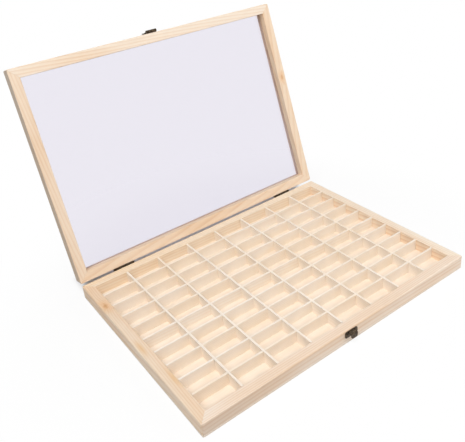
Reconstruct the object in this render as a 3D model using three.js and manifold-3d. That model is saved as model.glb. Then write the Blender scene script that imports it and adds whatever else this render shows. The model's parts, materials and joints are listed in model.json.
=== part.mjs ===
// Film display box: a shallow pine tray divided into cells for film cartridges, with a
// framed clear lid on two stop hinges, and a hasp that drops over a catch at the front.
// Millimetres, +Z up. The origin is the middle of the tray's underside, +X runs along the
// front and +Y towards the hinges. The lid stands open and the hasp is folded back on it.
import * as THREE from "three";
import { mergeVertices } from "three/addons/utils/BufferGeometryUtils.js";
import Module from "manifold-3d";

const wasm = await Module();
wasm.setup();

// Driving sizes: the cells and the boards round them
const columnCount = 8;
const rowCount = 10;
const cellLength = 51;
const cellWidth = 27;
const cellDepth = 18;
const dividerThickness = 3;
const railWidth = 15;
const baseThickness = 3;
const railEdgeRadius = 1.6;
const railInnerRadius = 0.6;

// Driving sizes: the lid
const lidDepth = 20;
const lidRecess = 12;
const paneThickness = 2;
const paneGrip = 3.7;
const lidOpenAngle = 107;

// Driving sizes: the hinges
const hingeLength = 34;
const hingeInset = 71;
const hingeKnuckles = 5;
const leafThickness = 0.7;
const leafFootRise = 8.2;
const leafHeadDrop = 7.2;
const leafCornerRadius = 1.2;
const knuckleRadius = 1.5;
const hingePinRadius = 0.6;
const pinHeadRadius = 1.3;
const pinHeadLength = 0.8;
const pinHeadChamfer = 0.4;
const stopSpurReach = 3.6;
const stopSpurWidth = 1.2;

// Driving sizes: the catch on the tray
const catchWidth = 22;
const catchThickness = 1;
const catchTopDrop = 1.5;
const catchFootRise = 9.5;
const catchCornerRadius = 3;
const hookWidth = 11;
const hookProud = 7;
const hookDrop = 8.5;
const hookThickness = 1.2;
const hookTopInset = 1;
const hookBendRadius = 2.5;
const hookTipRadius = 3.2;

// Driving sizes: the hasp on the lid
const haspWidth = 22;
const haspTopDrop = 2.4;
const haspThickness = 1;
const haspCornerRadius = 3;
const barrelRadius = 2.3;
const barrelLift = 0.6;
const barrelFootGap = 0.5;
const barrelMiddle = 11;
const barrelEnd = 3;
const haspPinRadius = 1;
const tongueThickness = 1;
const tongueBow = 0.6;
const tongueTipOut = 1;
const tongueTipRadius = 4;
const tongueEndBar = 2.5;
const tongueLeg = 2.5;
const slotCornerRadius = 1.5;
const tongueFoldAngle = 179;

// Driving sizes: the screws
const screwHeadRadius = 1.9;
const screwHeadHeight = 0.6;
const screwShankRadius = 0.8;
const screwLength = 6;
const screwTaper = 2;
const hingeScrewInset = 7;
const catchScrewInset = 3.3;
const catchScrewRise = 5;
const haspScrewInset = 7;

// Clearances
const mitreGap = 0.1;
const seatGap = 0.1;
const lapGap = 0.15;
const gridGap = 0.3;
const paneGap = 0.3;
const partingGap = 0.4;
const hingeBackGap = 0.2;
const runningGap = 0.3;
const boreGap = 0.3;
const hingeBoreGap = 0.2;
const stopGap = 0.2;
const slotSideGap = 1;
const slotEndGap = 1;

// Worked-out sizes
const degree = Math.PI / 180;
const innerLength = columnCount * cellLength + (columnCount - 1) * dividerThickness;
const innerWidth = rowCount * cellWidth + (rowCount - 1) * dividerThickness;
const outerLength = innerLength + 2 * railWidth;
const outerWidth = innerWidth + 2 * railWidth;
const frontFace = -outerWidth / 2;
const backFace = outerWidth / 2;
const trayTop = baseThickness + cellDepth;
const lidFoot = trayTop + partingGap;
const screwHoleRadius = screwShankRadius + boreGap;
const hingeScrewSpacing = hingeLength - 2 * hingeScrewInset;
const catchScrewSpacing = catchWidth - 2 * catchScrewInset;
const haspScrewSpacing = haspWidth - 2 * haspScrewInset;

// The hinge pins' line, and how far each leaf reaches from it
const hingeAxisY = backFace + knuckleRadius + hingeBackGap;
const hingeAxisZ = trayTop + partingGap / 2;
const hingeReach = outerLength / 2 - hingeInset;
const hingeCentres = [-hingeReach, hingeReach];
const leafStart = knuckleRadius + runningGap;
const trayLeafReach = hingeAxisZ - leafFootRise;
const lidLeafReach = lidFoot + lidDepth - leafHeadDrop - hingeAxisZ;
const leafInner = seatGap - knuckleRadius - hingeBackGap;
const trayKnuckles = [0, 2, 4];
const lidKnuckles = [1, 3];

// The spur on the lid's leaf comes to rest against the tray's leaf when the lid is open.
const spurCorner = Math.hypot(stopSpurReach, stopSpurWidth / 2);
const spurHalfAngle = Math.atan2(stopSpurWidth / 2, stopSpurReach);
const spurLean = Math.asin((-leafInner - leafThickness - stopGap) / spurCorner) - spurHalfAngle;
const spurAngle = lidOpenAngle * degree - Math.PI / 2 - spurLean;

// Where the catch and its bill stand on the tray's front
const catchHead = trayTop - catchTopDrop;
const billTop = catchHead - hookTopInset;
const billTip = billTop - hookDrop;

// The hasp's pin, plate and tongue. The tongue's slot clears the bill all round.
const haspAxisY = frontFace - barrelRadius - barrelLift;
const haspAxisZ = lidFoot + barrelRadius + barrelFootGap;
const haspFoot = haspAxisZ + barrelRadius + runningGap;
const haspHead = lidFoot + lidDepth - haspTopDrop;
const haspScrewZ = (haspFoot + haspHead) / 2;
const slotStart = haspAxisZ - billTop - slotEndGap;
const slotEnd = haspAxisZ - billTip + slotEndGap;
const tongueReach = slotEnd + tongueEndBar;
const tongueWidth = hookWidth + 2 * (slotSideGap + tongueLeg);

// Finishes
const pine = { color: 0xeed2ac, roughness: 0.6, metalness: 0 };
const plywood = { color: 0xe3c49a, roughness: 0.65, metalness: 0 };
const clearSheet = { color: 0xf1eef6, roughness: 0.08, metalness: 0 };
const agedBronze = { color: 0x4a3d2f, roughness: 0.42, metalness: 0.85 };

// Turns a closed geometry into a solid that can be cut and joined.
function toSolid(geometry) {
  const bare = geometry.clone();
  bare.deleteAttribute("normal");
  bare.deleteAttribute("uv");
  const merged = mergeVertices(bare, 1e-4);
  const mesh = new wasm.Mesh({
    numProp: 3,
    vertProperties: merged.getAttribute("position").array,
    triVerts: new Uint32Array(merged.index.array),
  });
  return new wasm.Manifold(mesh);
}

// Turns a cut or joined solid back into a geometry.
function toGeometry(solid) {
  const made = solid.getMesh();
  const geometry = new THREE.BufferGeometry();
  geometry.setAttribute("position", new THREE.BufferAttribute(made.vertProperties, 3));
  geometry.setIndex(new THREE.BufferAttribute(made.triVerts, 1));
  geometry.computeVertexNormals();
  return geometry;
}

// A named piece with a material of its own.
function piece(name, geometry, finish) {
  const mesh = new THREE.Mesh(geometry, new THREE.MeshStandardMaterial(finish));
  mesh.name = name;
  return mesh;
}

// A closed outline through corners given as [across, up, radius].
function outline(corners) {
  const shape = new THREE.Shape();
  corners.forEach(([x, y, radius], i) => {
    const corner = new THREE.Vector2(x, y);
    const before = new THREE.Vector2(...corners.at(i - 1).slice(0, 2));
    const after = new THREE.Vector2(...corners[(i + 1) % corners.length].slice(0, 2));
    const enter = before.sub(corner).setLength(radius).add(corner);
    const leave = after.sub(corner).setLength(radius).add(corner);
    if (i === 0) shape.moveTo(enter.x, enter.y);
    else shape.lineTo(enter.x, enter.y);
    if (radius > 0) shape.quadraticCurveTo(x, y, leave.x, leave.y);
  });
  shape.closePath();
  return shape;
}

// An outline drawn in X and Z, made into a plate that reaches from y = 0 back to y = depth.
function plate(shape, depth, curveSegments = 4) {
  const geometry = new THREE.ExtrudeGeometry(shape, { depth, bevelEnabled: false, curveSegments });
  return geometry.rotateX(Math.PI / 2).translate(0, depth, 0);
}

// An outline drawn in Y and Z, made into a bar along X with its middle at x = 0.
function bar(shape, length, curveSegments = 4) {
  const options = { depth: length, bevelEnabled: false, curveSegments };
  const geometry = new THREE.ExtrudeGeometry(shape, options);
  return geometry.rotateX(Math.PI / 2).rotateZ(Math.PI / 2).translate(-length / 2, 0, 0);
}

// A rectangle in any plane, from its lowest and highest corners.
function rectangle(low, high, radius = 0) {
  return outline([
    [low[0], low[1], radius],
    [high[0], low[1], radius],
    [high[0], high[1], radius],
    [low[0], high[1], radius],
  ]);
}

// A round rod along X with its middle at x = 0.
function rod(radius, length, segments = 20) {
  return new THREE.CylinderGeometry(radius, radius, length, segments).rotateZ(Math.PI / 2);
}

// A round hole along Y at x and z, which runs by depth to both sides of y = 0.
function pilot(x, z, depth) {
  const hole = new THREE.CylinderGeometry(screwHoleRadius, screwHoleRadius, 2 * depth, 12);
  return toSolid(hole.translate(x, 0, z));
}

// A mitred board whose outer face is y = 0. The section is drawn as inset and height.
function mitredBoard(section, length, holes = []) {
  const geometry = new THREE.ExtrudeGeometry(section, { depth: 1, bevelEnabled: false, curveSegments: 3 });
  const position = geometry.getAttribute("position");
  for (let i = 0; i < position.count; i++) {
    const inset = position.getX(i);
    const height = position.getY(i);
    const side = position.getZ(i) > 0.5 ? 1 : -1;
    const reach = length / 2 - inset - mitreGap / 2;
    position.setXYZ(i, side * reach, inset, height);
  }
  let solid = toSolid(geometry);
  for (const [x, z] of holes) solid = solid.subtract(pilot(x, z, screwLength + boreGap));
  return toGeometry(solid);
}

// The four boards of a frame, with their outer faces on the box's outline, standing on z = foot.
function boardFrame(prefix, section, foot, frontHoles, backHoles) {
  const sides = [
    { side: "front", length: outerLength, turn: 0, x: 0, y: frontFace, holes: frontHoles },
    { side: "back", length: outerLength, turn: 180, x: 0, y: backFace, holes: backHoles },
    { side: "left", length: outerWidth, turn: -90, x: -outerLength / 2, y: 0, holes: [] },
    { side: "right", length: outerWidth, turn: 90, x: outerLength / 2, y: 0, holes: [] },
  ];
  return sides.map(({ side, length, turn, x, y, holes }) => {
    const board = piece(prefix + side, mitredBoard(section, length, holes), pine);
    board.rotation.z = turn * degree;
    board.position.set(x, y, foot);
    return board;
  });
}

// Pairs of holes at plus and minus half a spacing, for each centre given.
function holePairs(centres, spacing, z) {
  return centres.flatMap((centre) => [
    [centre - spacing / 2, z],
    [centre + spacing / 2, z],
  ]);
}

// A domed screw. Its head's seat is y = 0 and its shank runs towards +Y.
function screwGeometry() {
  const head = new THREE.Path();
  head.moveTo(0, screwHeadHeight);
  head.quadraticCurveTo(screwHeadRadius - screwHeadHeight / 2, screwHeadHeight, screwHeadRadius, 0);
  const profile = head.getPoints(4);
  profile.push(new THREE.Vector2(screwShankRadius, 0));
  profile.push(new THREE.Vector2(screwShankRadius, screwTaper - screwLength));
  profile.push(new THREE.Vector2(0, -screwLength));
  return new THREE.LatheGeometry(profile.reverse(), 14).rotateX(Math.PI);
}

// One screw for each place, given as { name, x, y, z, facing } where facing is +1 for a head
// that looks towards +Y and -1 for one that looks towards -Y.
function screws(places) {
  return places.map(({ name, x, y, z, facing }) => {
    const screw = piece(name, screwGeometry(), agedBronze);
    screw.rotation.z = facing > 0 ? Math.PI : 0;
    screw.position.set(x, y, z);
    return screw;
  });
}

// How far the middle of a leaf's flat lies from the pin
function leafMiddle(reach) {
  return (leafStart + reach) / 2;
}

// The tray's boards and its plywood base
function trayFrame() {
  const section = outline([
    [0, 0, 0],
    [railWidth, 0, 0],
    [railWidth, cellDepth, railInnerRadius],
    [0, cellDepth, railEdgeRadius],
  ]);
  const catchHoles = holePairs([0], catchScrewSpacing, catchFootRise + catchScrewRise - baseThickness);
  const hingeScrewZ = hingeAxisZ - leafMiddle(trayLeafReach) - baseThickness;
  const hingeHoles = holePairs(hingeCentres, hingeScrewSpacing, hingeScrewZ);
  const base = new THREE.BoxGeometry(outerLength, outerWidth, baseThickness);
  base.translate(0, 0, baseThickness / 2);
  return [
    piece("tray_base", base, plywood),
    ...boardFrame("tray_rail_", section, baseThickness, catchHoles, hingeHoles),
  ];
}

// A comb-shaped divider: half its height is cut away at each crossing, from above or below.
function comb(length, crossings, cutFromTop) {
  const half = cellDepth / 2;
  const slot = dividerThickness / 2 + lapGap;
  const cut = half + lapGap / 2;
  const corners = [[-length / 2, 0, 0]];
  if (!cutFromTop) {
    for (const at of crossings) {
      corners.push([at - slot, 0, 0], [at - slot, cut, 0], [at + slot, cut, 0], [at + slot, 0, 0]);
    }
  }
  corners.push([length / 2, 0, 0], [length / 2, cellDepth, 0]);
  if (cutFromTop) {
    for (const at of [...crossings].reverse()) {
      const low = cellDepth - cut;
      corners.push([at + slot, cellDepth, 0], [at + slot, low, 0]);
      corners.push([at - slot, low, 0], [at - slot, cellDepth, 0]);
    }
  }
  corners.push([-length / 2, cellDepth, 0]);
  return plate(outline(corners), dividerThickness).translate(0, -dividerThickness / 2, 0);
}

// The middles of the dividers between count cells of the given size
function dividerPlaces(count, cell) {
  const pitch = cell + dividerThickness;
  return Array.from({ length: count - 1 }, (_, i) => (i + 1 - count / 2) * pitch);
}

// The egg-crate grid: long dividers run left to right, short ones run front to back
function grid() {
  const columnPlaces = dividerPlaces(columnCount, cellLength);
  const rowPlaces = dividerPlaces(rowCount, cellWidth);
  const rowDividers = rowPlaces.map((y, i) => {
    const divider = comb(innerLength - 2 * gridGap, columnPlaces, true);
    return piece("row_divider_" + (i + 1), divider.translate(0, y, baseThickness), pine);
  });
  const columnDividers = columnPlaces.map((x, i) => {
    const divider = comb(innerWidth - 2 * gridGap, rowPlaces, false).rotateZ(Math.PI / 2);
    return piece("column_divider_" + (i + 1), divider.translate(x, 0, baseThickness), pine);
  });
  return [...rowDividers, ...columnDividers];
}

// One hinge leaf, centred on the pin. It hangs below the pin, or stands above it when up is 1.
function hingeLeaf(knuckles, up, reach, withSpur) {
  const segment = hingeLength / hingeKnuckles;
  const length = segment - runningGap;
  const neckEnd = up * (leafStart + leafCornerRadius);
  const low = Math.min(up * leafStart, up * reach);
  const high = Math.max(up * leafStart, up * reach);
  const sheet = rectangle([-hingeLength / 2, low], [hingeLength / 2, high], leafCornerRadius);
  const neck = rectangle(
    [leafInner, Math.min(0, neckEnd)],
    [leafInner + leafThickness, Math.max(0, neckEnd)],
  );
  const spur = rectangle([0, -stopSpurWidth / 2], [stopSpurReach, stopSpurWidth / 2]);
  let leaf = toSolid(plate(sheet, leafThickness).translate(0, leafInner, 0));
  for (const knuckle of knuckles) {
    const middle = (knuckle + 0.5 - hingeKnuckles / 2) * segment;
    leaf = leaf.add(toSolid(bar(neck, length).translate(middle, 0, 0)));
    leaf = leaf.add(toSolid(rod(knuckleRadius, length, 24).translate(middle, 0, 0)));
    if (withSpur) leaf = leaf.add(toSolid(bar(spur, length).rotateX(spurAngle).translate(middle, 0, 0)));
  }
  leaf = leaf.subtract(toSolid(rod(hingePinRadius + hingeBoreGap, hingeLength + 2 * pinHeadLength, 16)));
  for (const [x, z] of holePairs([0], hingeScrewSpacing, up * leafMiddle(reach))) {
    leaf = leaf.subtract(pilot(x, z, 2 * knuckleRadius));
  }
  return toGeometry(leaf);
}

// A hinge pin with a chamfered head at each end
function hingePin() {
  const half = hingeLength / 2;
  const end = half + pinHeadLength;
  const edge = end - pinHeadChamfer;
  const profile = [
    new THREE.Vector2(0, -end),
    new THREE.Vector2(pinHeadRadius - pinHeadChamfer, -end),
    new THREE.Vector2(pinHeadRadius, -edge),
    new THREE.Vector2(pinHeadRadius, -half),
    new THREE.Vector2(hingePinRadius, -half),
    new THREE.Vector2(hingePinRadius, half),
    new THREE.Vector2(pinHeadRadius, half),
    new THREE.Vector2(pinHeadRadius, edge),
    new THREE.Vector2(pinHeadRadius - pinHeadChamfer, end),
    new THREE.Vector2(0, end),
  ];
  return new THREE.LatheGeometry(profile, 16).rotateZ(Math.PI / 2);
}

// The tray's half of both hinges, with their pins and screws
function trayHinges() {
  return ["left", "right"].flatMap((side, i) => {
    const x = hingeCentres[i];
    const geometry = hingeLeaf(trayKnuckles, -1, trayLeafReach, false);
    const leaf = piece("hinge_" + side + "_tray_leaf", geometry, agedBronze);
    const pin = piece("hinge_" + side + "_pin", hingePin(), agedBronze);
    leaf.position.set(x, hingeAxisY, hingeAxisZ);
    pin.position.set(x, hingeAxisY, hingeAxisZ);
    const places = holePairs([x], hingeScrewSpacing, hingeAxisZ - leafMiddle(trayLeafReach));
    return [leaf, pin, ...leafScrews("hinge_" + side + "_tray_screw_", places)];
  });
}

// The lid's half of both hinges, drawn with the lid shut
function lidHinges() {
  return ["left", "right"].flatMap((side, i) => {
    const x = hingeCentres[i];
    const geometry = hingeLeaf(lidKnuckles, 1, lidLeafReach, true);
    const leaf = piece("hinge_" + side + "_lid_leaf", geometry, agedBronze);
    leaf.position.set(x, hingeAxisY, hingeAxisZ);
    const places = holePairs([x], hingeScrewSpacing, hingeAxisZ + leafMiddle(lidLeafReach));
    return [leaf, ...leafScrews("hinge_" + side + "_lid_screw_", places)];
  });
}

// The screws of one leaf, seated on its outer face
function leafScrews(prefix, places) {
  const seat = backFace + 2 * seatGap + leafThickness;
  return screws(places.map(([x, z], i) => ({ name: prefix + (i + 1), x, y: seat, z, facing: 1 })));
}

// The catch: a round-cornered plate with a bill that bends out and down
function catchHook() {
  const half = catchWidth / 2;
  const inner = frontFace - seatGap;
  const root = inner - catchThickness / 2;
  const nose = frontFace - hookProud;
  const face = rectangle([-half, catchFootRise], [half, catchHead], catchCornerRadius);
  const section = outline([
    [root, billTop, 0],
    [nose, billTop, hookBendRadius],
    [nose, billTip, 0],
    [nose + hookThickness, billTip, 0],
    [nose + hookThickness, billTop - hookThickness, hookBendRadius - hookThickness],
    [root, billTop - hookThickness, 0],
  ]);
  const front = outline([
    [-hookWidth / 2, billTip, hookTipRadius],
    [hookWidth / 2, billTip, hookTipRadius],
    [hookWidth / 2, billTop, 0],
    [-hookWidth / 2, billTop, 0],
  ]);
  const bent = toSolid(bar(section, hookWidth, 5));
  const cutter = toSolid(plate(front, 2 * hookProud).translate(0, nose - catchThickness, 0));
  let solid = toSolid(plate(face, catchThickness).translate(0, inner - catchThickness, 0));
  solid = solid.add(bent.intersect(cutter));
  for (const [x, z] of holePairs([0], catchScrewSpacing, catchFootRise + catchScrewRise)) {
    solid = solid.subtract(pilot(x, z, hookProud).translate(0, frontFace, 0));
  }
  return toGeometry(solid);
}

// The catch with its screws
function catchPieces() {
  const y = frontFace - 2 * seatGap - catchThickness;
  const z = catchFootRise + catchScrewRise;
  return [
    piece("catch_hook", catchHook(), agedBronze),
    ...screws([
      { name: "catch_screw_left", x: -catchScrewSpacing / 2, y, z, facing: -1 },
      { name: "catch_screw_right", x: catchScrewSpacing / 2, y, z, facing: -1 },
    ]),
  ];
}

// The lid's boards, with a groove for the clear sheet, and the sheet itself
function lidFrame() {
  const grooveFloor = railWidth - paneGrip - paneGap;
  const grooveTop = lidRecess + paneThickness + paneGap;
  const section = outline([
    [0, 0, railInnerRadius],
    [railWidth, 0, railInnerRadius],
    [railWidth, lidRecess, 0],
    [grooveFloor, lidRecess, 0],
    [grooveFloor, grooveTop, 0],
    [railWidth, grooveTop, 0],
    [railWidth, lidDepth, railInnerRadius],
    [0, lidDepth, railEdgeRadius],
  ]);
  const haspHoles = holePairs([0], haspScrewSpacing, haspScrewZ - lidFoot);
  const hingeScrewZ = hingeAxisZ + leafMiddle(lidLeafReach) - lidFoot;
  const hingeHoles = holePairs(hingeCentres, hingeScrewSpacing, hingeScrewZ);
  const paneLength = innerLength + 2 * paneGrip;
  const paneWidth = innerWidth + 2 * paneGrip;
  const pane = new THREE.BoxGeometry(paneLength, paneWidth, paneThickness);
  pane.translate(0, 0, lidFoot + lidRecess + paneGap / 2 + paneThickness / 2);
  return [
    piece("window_pane", pane, clearSheet),
    ...boardFrame("lid_rail_", section, lidFoot, haspHoles, hingeHoles),
  ];
}

// The hasp's plate, whose lower edge rolls into the two outer knuckles
function haspPlate() {
  const half = haspWidth / 2;
  const inner = frontFace - seatGap;
  const neckTop = haspFoot + haspCornerRadius;
  const face = rectangle([-half, haspFoot], [half, haspHead], haspCornerRadius);
  let solid = toSolid(plate(face, haspThickness).translate(0, inner - haspThickness, 0));
  for (const side of [-1, 1]) {
    const middle = side * (barrelMiddle / 2 + runningGap + barrelEnd / 2);
    const neck = rectangle([inner - haspThickness, haspAxisZ], [inner, neckTop]);
    const knuckle = rod(barrelRadius, barrelEnd, 20).translate(middle, haspAxisY, haspAxisZ);
    solid = solid.add(toSolid(bar(neck, barrelEnd).translate(middle, 0, 0)));
    solid = solid.add(toSolid(knuckle));
  }
  const bore = rod(haspPinRadius + boreGap, haspWidth, 14).translate(0, haspAxisY, haspAxisZ);
  solid = solid.subtract(toSolid(bore));
  for (const [x, z] of holePairs([0], haspScrewSpacing, haspScrewZ)) {
    solid = solid.subtract(pilot(x, z, 2 * barrelRadius).translate(0, frontFace, 0));
  }
  return toGeometry(solid);
}

// The hasp's tongue, hanging from its pin as it does on the shut box, with the pin at the origin
function haspTongue() {
  const steps = 8;
  const outer = [];
  const inner = [];
  for (let i = 0; i <= steps; i++) {
    const t = i / steps;
    const out = tongueBow * 4 * t * (1 - t) + tongueTipOut * t;
    outer.push([-out - tongueThickness / 2, -t * tongueReach, 0]);
    inner.push([-out + tongueThickness / 2, -t * tongueReach, 0]);
  }
  const strap = toSolid(bar(outline([...outer, ...inner.reverse()]), tongueWidth));
  const half = tongueWidth / 2;
  const shoulder = -barrelRadius - runningGap;
  const neck = barrelMiddle / 2;
  const face = outline([
    [-half, -tongueReach, tongueTipRadius],
    [half, -tongueReach, tongueTipRadius],
    [half, shoulder, 0],
    [neck, shoulder, 0],
    [neck, 0, 0],
    [-neck, 0, 0],
    [-neck, shoulder, 0],
    [-half, shoulder, 0],
  ]);
  const slot = rectangle([tongueLeg - half, -slotEnd], [half - tongueLeg, -slotStart], slotCornerRadius);
  const depth = 4 * barrelRadius;
  const cutter = toSolid(plate(face, depth).translate(0, -depth / 2, 0));
  const window = toSolid(plate(slot, depth).translate(0, -depth / 2, 0));
  let solid = strap.intersect(cutter).subtract(window);
  solid = solid.add(toSolid(rod(barrelRadius, barrelMiddle, 20)));
  solid = solid.subtract(toSolid(rod(haspPinRadius + boreGap, haspWidth, 14)));
  return toGeometry(solid);
}

// The hasp's fixed pieces, drawn with the lid shut
function haspPieces() {
  const pinLength = barrelMiddle + 2 * (runningGap + barrelEnd) + 2 * runningGap;
  const pin = piece("hasp_pin", rod(haspPinRadius, pinLength, 14), agedBronze);
  pin.position.set(0, haspAxisY, haspAxisZ);
  const y = frontFace - 2 * seatGap - haspThickness;
  return [
    piece("hasp_plate", haspPlate(), agedBronze),
    pin,
    ...screws([
      { name: "hasp_screw_left", x: -haspScrewSpacing / 2, y, z: haspScrewZ, facing: -1 },
      { name: "hasp_screw_right", x: haspScrewSpacing / 2, y, z: haspScrewZ, facing: -1 },
    ]),
  ];
}

// A group that swings its pieces, drawn in the shut box's frame, about a line along X
function swung(y, z, angle, pieces) {
  const drawn = new THREE.Group();
  drawn.position.set(0, -y, -z);
  drawn.add(...pieces);
  const swing = new THREE.Group();
  swing.position.set(0, y, z);
  swing.rotation.x = -angle * degree;
  swing.add(drawn);
  return swing;
}

const tongue = piece("hasp_tongue", haspTongue(), agedBronze);
tongue.position.set(0, haspAxisY, haspAxisZ);
const foldedTongue = swung(haspAxisY, haspAxisZ, tongueFoldAngle, [tongue]);

const lidPieces = [...lidFrame(), ...lidHinges(), ...haspPieces(), foldedTongue];
const openLid = swung(hingeAxisY, hingeAxisZ, lidOpenAngle, lidPieces);

const box = new THREE.Group();
box.name = "film_display_box";
box.add(...trayFrame(), ...grid(), ...trayHinges(), ...catchPieces(), openLid);

export default box;
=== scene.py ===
# %% [markdown]
# # A pine display box for film cartridges
#
# This lesson dresses a box that already has its real sizes, joints and parts. The box is a
# shallow tray with eighty cells, and a lid with a clear sheet that stands open on two small
# hinges. The part is loaded as a fixed frame, and each visible piece is then modelled finer
# than the frame has it, in the same place, or keeps its frame mesh and gets a finish.

import json
import math

import bmesh
import bpy
from mathutils import Matrix, Vector

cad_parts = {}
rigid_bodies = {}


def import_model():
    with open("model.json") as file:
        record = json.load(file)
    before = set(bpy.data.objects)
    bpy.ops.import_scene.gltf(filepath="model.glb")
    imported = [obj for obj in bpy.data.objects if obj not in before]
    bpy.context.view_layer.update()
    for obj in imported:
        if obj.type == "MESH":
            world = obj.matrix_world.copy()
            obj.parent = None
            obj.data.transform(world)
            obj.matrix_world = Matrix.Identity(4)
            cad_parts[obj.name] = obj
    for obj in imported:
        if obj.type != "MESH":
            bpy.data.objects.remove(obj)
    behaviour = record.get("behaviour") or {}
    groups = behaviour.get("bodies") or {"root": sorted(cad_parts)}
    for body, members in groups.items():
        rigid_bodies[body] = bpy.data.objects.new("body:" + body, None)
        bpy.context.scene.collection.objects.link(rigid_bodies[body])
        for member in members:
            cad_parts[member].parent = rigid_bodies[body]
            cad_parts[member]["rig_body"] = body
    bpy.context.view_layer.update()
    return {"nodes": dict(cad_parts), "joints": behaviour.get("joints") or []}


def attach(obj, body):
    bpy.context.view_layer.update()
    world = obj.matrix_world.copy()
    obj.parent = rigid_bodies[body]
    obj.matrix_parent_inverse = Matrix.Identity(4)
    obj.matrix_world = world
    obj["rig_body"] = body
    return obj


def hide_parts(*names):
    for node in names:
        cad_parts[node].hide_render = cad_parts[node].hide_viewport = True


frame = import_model()
mm = 0.001

# %% [markdown]
# ## Drawn shut, shown open
#
# A box is easiest to draw shut, where every board lies along an axis. The frame holds the
# lid open and the hasp's tongue folded back, and its two joints say where they turn and how
# far. So each body gets one matrix that takes a drawn piece to where it rests. The other way
# round, it gives the size of any part of the lid as if the box were shut.

# %% Where each body is drawn and where it rests
joints = {joint["name"]: joint for joint in frame["joints"]}
hinge_pin = Vector(joints["lid_hinge"]["pos_m"])
lid_angle = math.radians(joints["lid_hinge"]["range_deg"][1])
tongue_pin = Vector(joints["tongue_hinge"]["pos_m"])
tongue_angle = math.radians(joints["tongue_hinge"]["range_deg"][1])


def turned_about(point, angle):
    """The matrix of a turn about a line along X through a point."""
    return Matrix.Translation(point) @ Matrix.Rotation(angle, 4, "X") @ Matrix.Translation(-point)


lid_open = turned_about(hinge_pin, -lid_angle)
tongue_folded = turned_about(tongue_pin, -tongue_angle) @ lid_open
to_rest = {"tray": Matrix.Identity(4), "lid": lid_open, "tongue": tongue_folded}


def drawn_box(node):
    """Lowest and highest corner of a frame node, as drawn on the shut box."""
    thing = frame["nodes"][node]
    back = to_rest[thing["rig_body"]].inverted()
    points = [back @ vertex.co for vertex in thing.data.vertices]
    low = Vector([min(p[i] for p in points) for i in range(3)])
    high = Vector([max(p[i] for p in points) for i in range(3)])
    return low, high


def names_starting(prefix):
    return sorted(name for name in frame["nodes"] if name.startswith(prefix))


base_low, base_high = drawn_box("tray_base")
rail_low, rail_high = drawn_box("tray_rail_front")
lid_low, lid_high = drawn_box("lid_rail_front")
outer_x, outer_y = base_high.x, base_high.y
rail_width = rail_high.y - rail_low.y
tray_top = rail_high.z
print("outer", outer_x / mm, outer_y / mm, "rail", rail_width / mm, "tray top", tray_top / mm)

# %% [markdown]
# ## The camera
#
# The box is seen from its front left corner, from above. The camera's place and lens come
# from lining up the tray's corners and the ends of the dividers with the picture. The best
# fit has its optical centre above the middle, as if the picture had been cropped more at
# the top, so the lens has a small shift.

# %% Camera
picture_width, picture_height = 465, 442
lens_in_pixels = 606.5
optical_centre = (239.7, 173.4)
camera_place = Vector((-429.41, -586.42, 565.85)) * mm
camera_right = Vector((0.80242, -0.59042, -0.08677))
camera_down = Vector((-0.33660, -0.32773, -0.88278))

camera_data = bpy.data.cameras.new("camera")
camera = bpy.data.objects.new("camera", camera_data)
bpy.context.scene.collection.objects.link(camera)
forward = camera_right.cross(camera_down)
turn = Matrix((camera_right, -camera_down, -forward)).transposed()
camera.matrix_world = Matrix.Translation(camera_place) @ turn.to_4x4()
camera_data.lens = lens_in_pixels / picture_width * camera_data.sensor_width
camera_data.shift_x = (picture_width / 2 - optical_centre[0]) / picture_width
camera_data.shift_y = (optical_centre[1] - picture_height / 2) / picture_width
camera_data.clip_start, camera_data.clip_end = 0.01, 50
bpy.context.scene.camera = camera
print("lens", camera_data.lens, "shift", camera_data.shift_x, camera_data.shift_y)

# %% [markdown]
# ## Wiring nodes
#
# A finish is a small network of nodes. One helper adds a node, sets it and joins what goes
# into it, so that a finish reads from top to bottom like a recipe.

# %% Node helpers
def add(tree, kind, inputs=None, output=0, **settings):
    """Adds a shader node. Inputs may be values or sockets. Returns one of its outputs."""
    node = tree.nodes.new("ShaderNode" + kind)
    for name, value in settings.items():
        setattr(node, name, value)
    for socket, value in (inputs or {}).items():
        if isinstance(value, bpy.types.NodeSocket):
            tree.links.new(value, node.inputs[socket])
        else:
            node.inputs[socket].default_value = value
    return node.outputs[output]


def maths(tree, operation, a, b=0.0, clamp=False):
    return add(tree, "Math", {0: a, 1: b}, operation=operation, use_clamp=clamp)


def blend_colours(tree, share, a, b, blend="MIX"):
    inputs = {0: share, 6: a, 7: b}
    return add(tree, "Mix", inputs, 2, data_type="RGBA", blend_type=blend, clamp_factor=True)


def fade(tree, value, start, end, low=0.0, high=1.0):
    """A soft step from low to high as value goes from start to end."""
    inputs = {"Value": value, "From Min": start, "From Max": end, "To Min": low, "To Max": high}
    return add(tree, "MapRange", inputs, interpolation_type="SMOOTHSTEP")


def scaled(tree, vector, factors):
    return add(tree, "VectorMath", {0: vector, 1: factors}, operation="MULTIPLY")


def noise(tree, vector, scale=1.0, detail=2.0, roughness=0.5):
    inputs = {"Vector": vector, "Scale": scale, "Detail": detail, "Roughness": roughness}
    return add(tree, "TexNoise", inputs)


def axes(tree, vector):
    """The three numbers of a vector, as sockets."""
    parts = tree.nodes.new("ShaderNodeSeparateXYZ")
    tree.links.new(vector, parts.inputs[0])
    return parts.outputs


def colour(red, green, blue):
    """A colour as seen on a screen, 0 to 255, made linear for the shaders."""
    steps = [channel / 255 for channel in (red, green, blue)]
    return tuple(s / 12.92 if s < 0.04045 else ((s + 0.055) / 1.055) ** 2.4 for s in steps) + (1.0,)


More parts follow.
